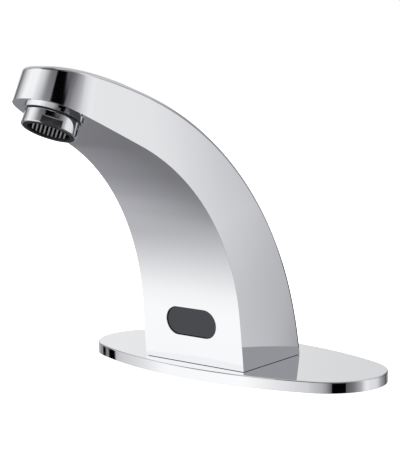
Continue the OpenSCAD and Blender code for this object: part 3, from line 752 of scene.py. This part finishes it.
# %% Group: moulded grain
grain, given, result = group("moulded_grain", [("Scale", 2500.0), ("Roughness", 0.6), ("Dust", 0.2)],
                             ["Roughness", "Tone", "Height"])
place = add(grain, "ShaderNodeTexCoord").outputs["Object"]
pebble = add(grain, "ShaderNodeTexVoronoi", {"Vector": place, "Scale": given["Scale"]}).outputs["Distance"]
dust = add(grain, "ShaderNodeTexNoise", {"Vector": place, "Scale": 160.0, "Detail": 5.0}).outputs["Fac"]
dusty = sums(grain, "MULTIPLY", spread(grain, dust, 0.5, 0.8, 0, 1), given["Dust"])
rougher = sums(grain, "ADD", given["Roughness"], sums(grain, "MULTIPLY", dusty, 0.5), clamp=True)
grain.links.new(rougher, result["Roughness"])
grain.links.new(dusty, result["Tone"])
grain.links.new(sums(grain, "SUBTRACT", 1.0, pebble), result["Height"])
print("group:", grain.name)

# %% [markdown]
# ## The finishes
#
# Chrome is almost white and nearly a mirror, with a hint of blue against nickel or steel. Brass and
# copper are rougher and warmer. Rubber is dark and dull. The window is a glossy dark plastic that
# lets infrared through but looks black. Each finish could be a flat colour, which looks like a
# drawing once the light moves. So one helper lets the shared effect of the finish vary its colour,
# roughness and height together, as wear and tooling do.

# %% Helper: a material with one shared effect
def finish(name, made, values, light, dark, bump, metallic, coat=0.0):
    """Principled material whose colour, roughness and bump come from a shared effect."""
    material = bpy.data.materials.new(name)
    material.use_nodes = True
    tree = material.node_tree
    shader = tree.nodes["Principled BSDF"]
    effect = use(tree, made, values)
    colour = add(tree, "ShaderNodeMix", {"Factor": effect["Tone"], "A": (*dark, 1), "B": (*light, 1)},
                 data_type="RGBA")
    tree.links.new(colour.outputs["Result"], shader.inputs["Base Color"])
    tree.links.new(effect["Roughness"], shader.inputs["Roughness"])
    strength, depth = bump
    bumped = add(tree, "ShaderNodeBump",
                 {"Height": effect["Height"], "Strength": strength, "Distance": depth * MM})
    tree.links.new(bumped.outputs[0], shader.inputs["Normal"])
    shader.inputs["Metallic"].default_value = metallic
    shader.inputs["Coat Weight"].default_value = coat
    return material


# %% Chrome finishes
CHROME, CUP_CHROME, CHROME_DULL = (0.93, 0.935, 0.95), (0.91, 0.915, 0.93), (0.6, 0.6, 0.62)
chrome_body = finish("chrome_body", marks, {"Size": 1.0, "Roughness": 0.035, "Amount": 0.03},
                     CHROME, CHROME_DULL, (0.06, 0.02), 1)
chrome_plate = finish("chrome_plate", marks, {"Size": 1.6, "Roughness": 0.035, "Amount": 0.03},
                      CHROME, CHROME_DULL, (0.06, 0.02), 1)
chrome_cup = finish("chrome_cup", marks, {"Size": 2.5, "Roughness": 0.05, "Amount": 0.03},
                    CUP_CHROME, CHROME_DULL, (0.05, 0.01), 1)
print("chrome:", chrome_body.name, chrome_plate.name, chrome_cup.name)

# %% Turned metals
brass = finish("brass", rings, {"Rings": 5000.0, "Roughness": 0.28, "Amount": 0.2},
               (0.76, 0.6, 0.3), (0.45, 0.33, 0.15), (0.2, 0.03), 1)
steel = finish("steel", rings, {"Rings": 9000.0, "Roughness": 0.32, "Amount": 0.2},
               (0.6, 0.61, 0.63), (0.42, 0.42, 0.43), (0.15, 0.02), 1)
copper = finish("copper", rings, {"Rings": 700.0, "Roughness": 0.3, "Amount": 0.2},
                (0.8, 0.45, 0.3), (0.5, 0.25, 0.16), (0.1, 0.02), 1)
print("metals:", brass.name, steel.name, copper.name)

# %% Rubber and plastics
rubber = finish("rubber", grain, {"Scale": 2500.0, "Roughness": 0.62, "Dust": 0.25},
                (0.12, 0.12, 0.12), (0.022, 0.022, 0.024), (0.25, 0.04), 0)
black_plastic = finish("black_plastic", grain, {"Scale": 3800.0, "Roughness": 0.5, "Dust": 0.1},
                       (0.05, 0.05, 0.05), (0.006, 0.006, 0.0065), (0.15, 0.03), 0)
grey_plastic = finish("grey_plastic", grain, {"Scale": 3800.0, "Roughness": 0.4, "Dust": 0.2},
                      (0.26, 0.26, 0.265), (0.12, 0.123, 0.128), (0.15, 0.03), 0)
board_green = finish("board_green", grain, {"Scale": 900.0, "Roughness": 0.35, "Dust": 0.3},
                     (0.05, 0.3, 0.12), (0.01, 0.12, 0.05), (0.2, 0.04), 0, 0.3)
dark_window = finish("dark_window", grain, {"Scale": 5200.0, "Roughness": 0.16, "Dust": 0.15},
                     (0.02, 0.022, 0.03), (0.005, 0.007, 0.013), (0.05, 0.01), 0, 0.25)
print("finishes:", len(bpy.data.materials))

# %% [markdown]
# Now each new piece and each CAD node that still shows gets its one material. A table is easier to
# read and to check than a call beside every piece. Old material slots are cleared first, because a
# joined or copied mesh can carry some along.

# %% Give every piece its finish
# The groove's black ring and the sleeve's black flange are painted shade: the ring darkens the groove under the
# collar, and the flange darkens the cup's lip.
FINISHES = {
    body_chrome: chrome_body, plate_chrome: chrome_plate, window_lens: dark_window,
    cup_chrome: chrome_cup, painted_shade_ring: rubber, grille_frame: black_plastic, grille_bars: grey_plastic,
    shank_brass: brass, washer_rubber: rubber, washer_steel: steel, nut_brass: brass,
}
NODE_FINISHES = {
    "base_block": brass, "base_screws": steel, "base_seal": rubber, "deck_gasket": rubber,
    "water_tube": copper, "tube_seal_lower": rubber, "tube_seal_upper": rubber, "window_seal": rubber,
    "sensor_case": black_plastic, "circuit_board": board_green, "ir_emitter": dark_window,
    "ir_receiver": dark_window, "sensor_gland": rubber, "sensor_bracket": steel, "bracket_screws": steel,
    "cable_grommet": rubber, "aerator_washer": rubber, "aerator_cartridge": black_plastic,
    "flow_regulator": rubber, "aerator_screens": steel,
}
for piece, material in list(FINISHES.items()) + [(nodes[n], m) for n, m in NODE_FINISHES.items()]:
    piece.data.materials.clear()
    piece.data.materials.append(material)
print("finished:", len(FINISHES), "new pieces and", len(NODE_FINISHES), "CAD nodes")

# %% [markdown]
# ## The studio
#
# What the camera sees is a white floor that runs into a white wall. What the chrome sees has to be
# richer, because polish without anything dark to mirror looks like plain paint. So reflected rays
# get surroundings of their own: pale walls that change tone by turns, a ground that goes from
# white in front of the tap to grey below the spout, where the grey is painted shade for the tap's
# shadow on the ground, and black cards. A tall leaning card draws the black band on the tip and the
# cup, and two short ones draw the crisp bands on the plate's rim. A photographer builds the same
# with paper and cards, and keeps them out of the frame.
#
# Each direction has three angles: how far round it points, counted from the front of the tap
# towards the picture's right, how high it is above the horizon, and how far it has turned down from
# the front horizon and under the tap. Cycles isn't asked to sample the world as a lamp, because
# that leaves white specks in the black reflections.

# %% The world and its angles
world = bpy.data.worlds.new("studio")
bpy.context.scene.world = world
world.use_nodes = True
world.cycles.sampling_method = "NONE"
sky = world.node_tree
sky.nodes.clear()
toward = add(sky, "ShaderNodeSeparateXYZ", {0: add(sky, "ShaderNodeTexCoord").outputs["Generated"]}).outputs


def in_degrees(radians):
    return sums(sky, "MULTIPLY", radians, 180 / math.pi)


back = sums(sky, "MULTIPLY", toward["Y"], -1.0)
round_about = in_degrees(sums(sky, "ARCTAN2", toward["X"], back))
above = in_degrees(sums(sky, "ARCSINE", toward["Z"]))
under = in_degrees(sums(sky, "ARCTAN2", sums(sky, "MULTIPLY", toward["Z"], -1.0), back))
print("angles:", len(sky.nodes), "nodes")

# %% Helpers: tones and paper
CHROME_WHITE = 0.93  # what polished chrome gives back of the light
GAMMA = 2.2


def tone(grey):
    """The light that chrome shows as this grey, 0 to 255. Its darker greys lean to blue."""
    light = (grey / 255) ** GAMMA
    return light / CHROME_WHITE, light / CHROME_WHITE, light ** 0.96 / CHROME_WHITE, 1


def paper_wall(angle, stops):
    """Paper lit unevenly: stops are (degrees, grey) pairs from one end of the wall to the other."""
    start, end = stops[0][0], stops[-1][0]
    node = add(sky, "ShaderNodeValToRGB", {0: spread(sky, angle, start, end, 0, 1, smoothly=False)})
    ends = node.color_ramp.elements
    ends[0].color, ends[1].color = tone(stops[0][1]), tone(stops[-1][1])
    for degrees, grey in stops[1:-1]:
        ends.new((degrees - start) / (end - start)).color = tone(grey)
    return node.outputs["Color"]


def blend(lower, upper, share):
    mixed = add(sky, "ShaderNodeMix", {"Factor": share, "A": lower, "B": upper}, data_type="RGBA")
    return mixed.outputs["Result"]


def dimmed(colour, strength):
    """A colour with its light multiplied by strength."""
    return add(sky, "ShaderNodeVectorMath", {0: colour, "Scale": strength}, operation="SCALE").outputs[0]


# %% Helpers: cards and bands
def times(value, *cuts):
    """A share multiplied by each of the cuts."""
    for cut in cuts:
        value = sums(sky, "MULTIPLY", value, cut)
    return value


def card(left, right, low, high, soft_side=2, soft_end=3):
    """A card in the surroundings: 1 inside, 0 outside, softer at its ends than at its sides."""
    return times(spread(sky, round_about, left - soft_side, left, 0, 1),
                 spread(sky, round_about, right, right + soft_side, 1, 0),
                 spread(sky, above, low - soft_end, low, 0, 1),
                 spread(sky, above, high, high + soft_end, 1, 0))


def stack(*steps):
    """Bands one above the other: a colour, then pairs of the next colour up and where it takes over."""
    band = steps[0]
    for upper, (start, end) in steps[1:]:
        band = blend(band, upper, spread(sky, above, start, end, 0, 1))
    return band


def plain_tone(grey):
    """One even grey as a colour socket."""
    socket = add(sky, "ShaderNodeRGB").outputs[0]
    socket.default_value = tone(grey)
    return socket


# %% [markdown]
# The walls are bright on the left, where the big lamp stands, and dim on the right, behind the
# cards. Higher up the paper ends sooner, so the same turn of the head meets darker tones. Behind
# the tap on its right stands one more sheet, whose tones lean towards the front as they rise: it
# gives the casting's side its slow fall from light to grey. The far back is nearly black just under
# the horizon, which draws the thin dark line down the casting's back edge. Each stop is an angle in
# degrees and a grey from 0 to 255.

# %% Walls and ceiling
low_wall = paper_wall(round_about, [
    (-180, 60), (-150, 205), (-136, 228), (-125, 210), (-97, 130), (-84, 160), (-76, 198), (-60, 224),
    (-50, 247), (-15, 250), (12, 198), (33, 173), (40, 150), (50, 90), (78, 90), (91, 116), (106, 170),
    (112, 210), (119, 231), (128, 220), (142, 216), (148, 206), (152, 190), (155, 175), (162, 150), (180, 100),
])
high_wall = paper_wall(round_about, [
    (-180, 190), (-110, 190), (-99, 160), (-93, 135), (-84, 175), (-71, 226), (-60, 243), (-46, 224),
    (-32, 195), (-9, 153), (20, 130), (60, 100), (78, 88), (91, 112), (104, 160), (111, 212), (119, 233),
    (130, 200), (180, 190),
])
upper_gap = paper_wall(round_about, [
    (-180, 185), (-110, 170), (-80, 115), (-60, 80), (50, 75), (71, 110), (97, 148), (121, 176), (180, 185),
])
print("walls:", len(sky.nodes), "nodes so far")

# %% The leaning sheet on the right, and the dark far back
side_turn = sums(sky, "ADD", round_about, sums(sky, "MULTIPLY", above, 0.35))
side_turn = sums(sky, "ADD", side_turn, sums(sky, "MULTIPLY", sums(sky, "MAXIMUM", above, 0.0), 0.8))
right_wall = paper_wall(side_turn, [
    (120, 230), (132, 227), (139, 226), (142, 220), (145, 209), (148, 195), (150, 182), (153, 165), (160, 140),
])
share = times(spread(sky, round_about, 119, 124, 0, 1), spread(sky, round_about, 156, 160, 1, 0),
              spread(sky, above, -11.6, -10.8, 0, 1))
low_wall = blend(low_wall, right_wall, share)
far_back = times(spread(sky, sums(sky, "ABSOLUTE", round_about), 153, 158, 0, 0.95),
                 spread(sky, above, -11.5, -10.5, 0, 1), spread(sky, above, -3, -2, 1, 0))
low_wall = dimmed(low_wall, sums(sky, "SUBTRACT", 1.0, far_back))
print("with the leaning sheet:", len(sky.nodes), "nodes")

# %% [markdown]
# The ground is white at the tap's foot and greyer further under the spout: the grey is painted
# shade, standing for the tap's shadow on the ground. One pale stripe runs across it, and the whole
# of it gets darker from the picture's left to its right. Then the bands are stacked by height:
# ground, low wall, high wall, a darker gap and the ceiling.

# %% Ground
STRIPE_GAIN = 0.8
# Painted shade: the greys under the spout stand for the tap's shadow on the ground.
ground = paper_wall(under, [
    (20, 252), (34, 241), (43, 224), (52, 206), (60, 190), (78, 147), (90, 130), (103, 119), (134, 114),
    (180, 114),
])
lean = sums(sky, "ADD", toward["X"], sums(sky, "MULTIPLY", under, 0.00088))
stripe = sums(sky, "MINIMUM", spread(sky, lean, -0.628, -0.570, 1, 0, smoothly=False),
              spread(sky, lean, -0.645, -0.62, 0, 1))
stripe = times(stripe, spread(sky, under, 62, 88, 0, 1), spread(sky, under, 126, 134, 1, 0.4))
fall = spread(sky, toward["X"], -0.5, -0.05, 1, 0.3)
ground = dimmed(ground, times(sums(sky, "ADD", times(stripe, STRIPE_GAIN), 1.0), fall))
room = stack(ground, (low_wall, (-18, -14)), (high_wall, (20, 28)), (upper_gap, (38, 45)),
             (plain_tone(182), (69, 76)))
print("room:", len(sky.nodes), "nodes")

# %% [markdown]
# Cards come last and cover the walls. Each is a product of four soft edges. A card could be a plane
# in the scene, but then it would also shade the floor and show in other views. As part of the
# surroundings it is seen in reflections alone. The tall one has leaning edges: they turn with height.

# %% Cards
def leaning(side, lean_by, start, end):
    """One edge of a leaning card: 1 towards the right of the line, 0 to the left of it."""
    return spread(sky, sums(sky, "ADD", side, sums(sky, "MULTIPLY", above, lean_by)), start, end, 0, 1)


tall = times(leaning(round_about, 3.3, 152, 157),
             sums(sky, "SUBTRACT", 1.0, leaning(round_about, 2.2, 131.5, 134)),
             spread(sky, above, 21, 24, 0, 1), spread(sky, above, 46, 51, 1, 0))
short = sums(sky, "MAXIMUM", card(51, 75, -40, -3, 1.5), card(-88.5, -80, -40, -1, 1.5))
CARDS = [  # each with its grey; the last is the glint in the left black card
    (card(143, 176, 8.5, 18), 148), (card(-99, -95, 9, 15), 70), (sums(sky, "MAXIMUM", tall, short), 11),
    (card(-86.3, -84.8, -40, 0, 0.8), 130),
]
for cut, grey in CARDS:
    room = blend(room, plain_tone(grey), cut)
print("cards:", len(CARDS))

# %% [markdown]
# The last step splits the rays. The Light Path node tells reflected rays from all others: these
# meet the room, and the camera and the soft light get plain white.

# %% Surroundings for reflections, white for the rest
rays = add(sky, "ShaderNodeLightPath").outputs
plain = add(sky, "ShaderNodeBackground", {"Color": (1, 1, 1, 1), "Strength": 1.0}).outputs[0]
mirrored = add(sky, "ShaderNodeBackground", {"Color": room, "Strength": 1.0}).outputs[0]
mixed = add(sky, "ShaderNodeMixShader", {0: rays["Is Glossy Ray"], 1: plain, 2: mirrored}).outputs[0]
add(sky, "ShaderNodeOutputWorld", {"Surface": mixed})
print("surroundings:", len(sky.nodes), "nodes")

# %% [markdown]
# ## The floor
#
# White paper under the tap, just below the deck plane, as the basin's top would be. It is left out
# of reflections, because the ground that the chrome mirrors is already part of the surroundings. A
# curved sweep would hide the floor's end as well. A flat sheet with a little light of its own is
# simpler: it comes up to the same white as the wall, so that no line shows.

# %% Floor
FLOOR_HEIGHT = -0.15
bpy.ops.object.select_all(action="DESELECT")
bpy.ops.mesh.primitive_plane_add(size=12, location=(0, 0, FLOOR_HEIGHT * MM))
floor = bpy.context.object
floor.name = "floor"
bpy.ops.object.transform_apply(location=True, rotation=True, scale=True)
floor.visible_glossy = False
paper = bpy.data.materials.new("paper_floor")
paper.use_nodes = True
tree = paper.node_tree
shader = tree.nodes["Principled BSDF"]
place = add(tree, "ShaderNodeTexCoord").outputs["Object"]
fibre = add(tree, "ShaderNodeTexNoise", {"Vector": place, "Scale": 40.0, "Detail": 4.0}).outputs["Fac"]
shade = spread(tree, fibre, 0.2, 0.8, 0.96, 0.98)
colour = add(tree, "ShaderNodeCombineColor", {0: shade, 1: shade, 2: shade}).outputs[0]
tree.links.new(colour, shader.inputs["Base Color"])
shader.inputs["Roughness"].default_value = 0.9
shader.inputs["Specular IOR Level"].default_value = 0.1
shader.inputs["Emission Color"].default_value = (1, 1, 1, 1)
shader.inputs["Emission Strength"].default_value = 0.6
floor.data.materials.append(paper)
print("floor at", FLOOR_HEIGHT, "mm")

# %% [markdown]
# ## Lights
#
# Two soft lamps lift what isn't chrome: the rubber, the window, the floor. The world alone would
# light them evenly from all sides, and they would look flat. The lamps are left out of reflections
# and of the picture, since the walls already stand for them there. The Standard view keeps white
# paper white, where a filmic one would grey it.

# %% Soft lights
def softbox(name, place, aim, size, watts):
    """A square lamp of that size in metres, turned towards aim."""
    data = bpy.data.lights.new(name, "AREA")
    data.energy, data.size = watts, size
    lamp = bpy.data.objects.new(name, data)
    bpy.context.scene.collection.objects.link(lamp)
    lamp.location = place
    lamp.rotation_euler = (Vector(aim) - Vector(place)).to_track_quat("-Z", "Y").to_euler()
    lamp.visible_glossy = False
    lamp.visible_camera = False
    return lamp


softbox("overhead", (0.0, -0.1, 1.4), (0, 0, 0), 1.6, 6.0)
softbox("left_side", (-1.1, -0.8, 0.9), (0, 0, 0.05), 1.0, 3.0)
bpy.context.scene.view_settings.view_transform = "Standard"
bpy.context.scene.view_settings.look = "None"
